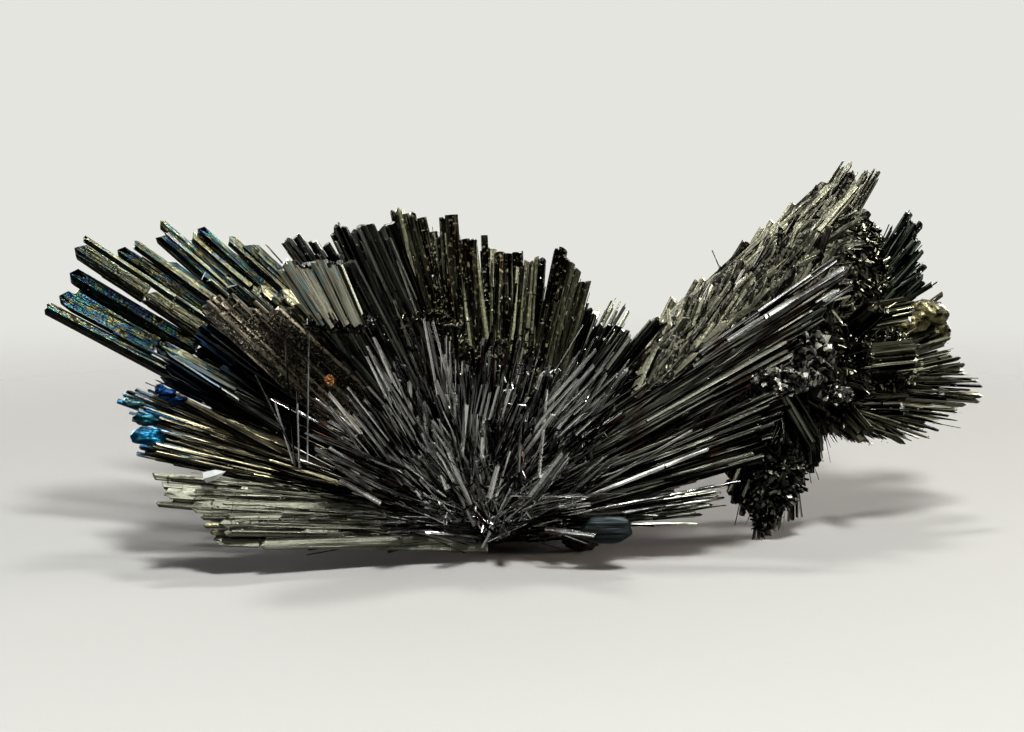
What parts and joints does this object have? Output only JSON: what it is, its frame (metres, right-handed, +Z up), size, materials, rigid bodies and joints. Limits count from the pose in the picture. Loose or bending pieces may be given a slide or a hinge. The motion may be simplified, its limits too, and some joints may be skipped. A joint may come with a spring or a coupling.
{
  "type": "stibnite crystal spray",
  "caption": "Natural spray of dark metallic needle and blade crystals fanned from a low centre, with a tall wing and a needle cluster on the right; it rests on its broken base.",
  "frame": {"origin": "middle of the footprint, on the plane that the broken base rests on", "axes": "+X along the long way, from the left fan to the right needle cluster; +Y away from the front, where the centre of growth opens; +Z up"},
  "size_m": [0.096, 0.0435, 0.038],
  "materials": {
    "stibnite": "dark metallic, striated along each crystal, tarnished at the left tips",
    "clear_mineral": "clear to milky, glossy"
  },
  "bodies": {
    "root": {"stibnite_spray": "stibnite", "clear_crystal": "clear_mineral"}
  },
  "joints": []
}
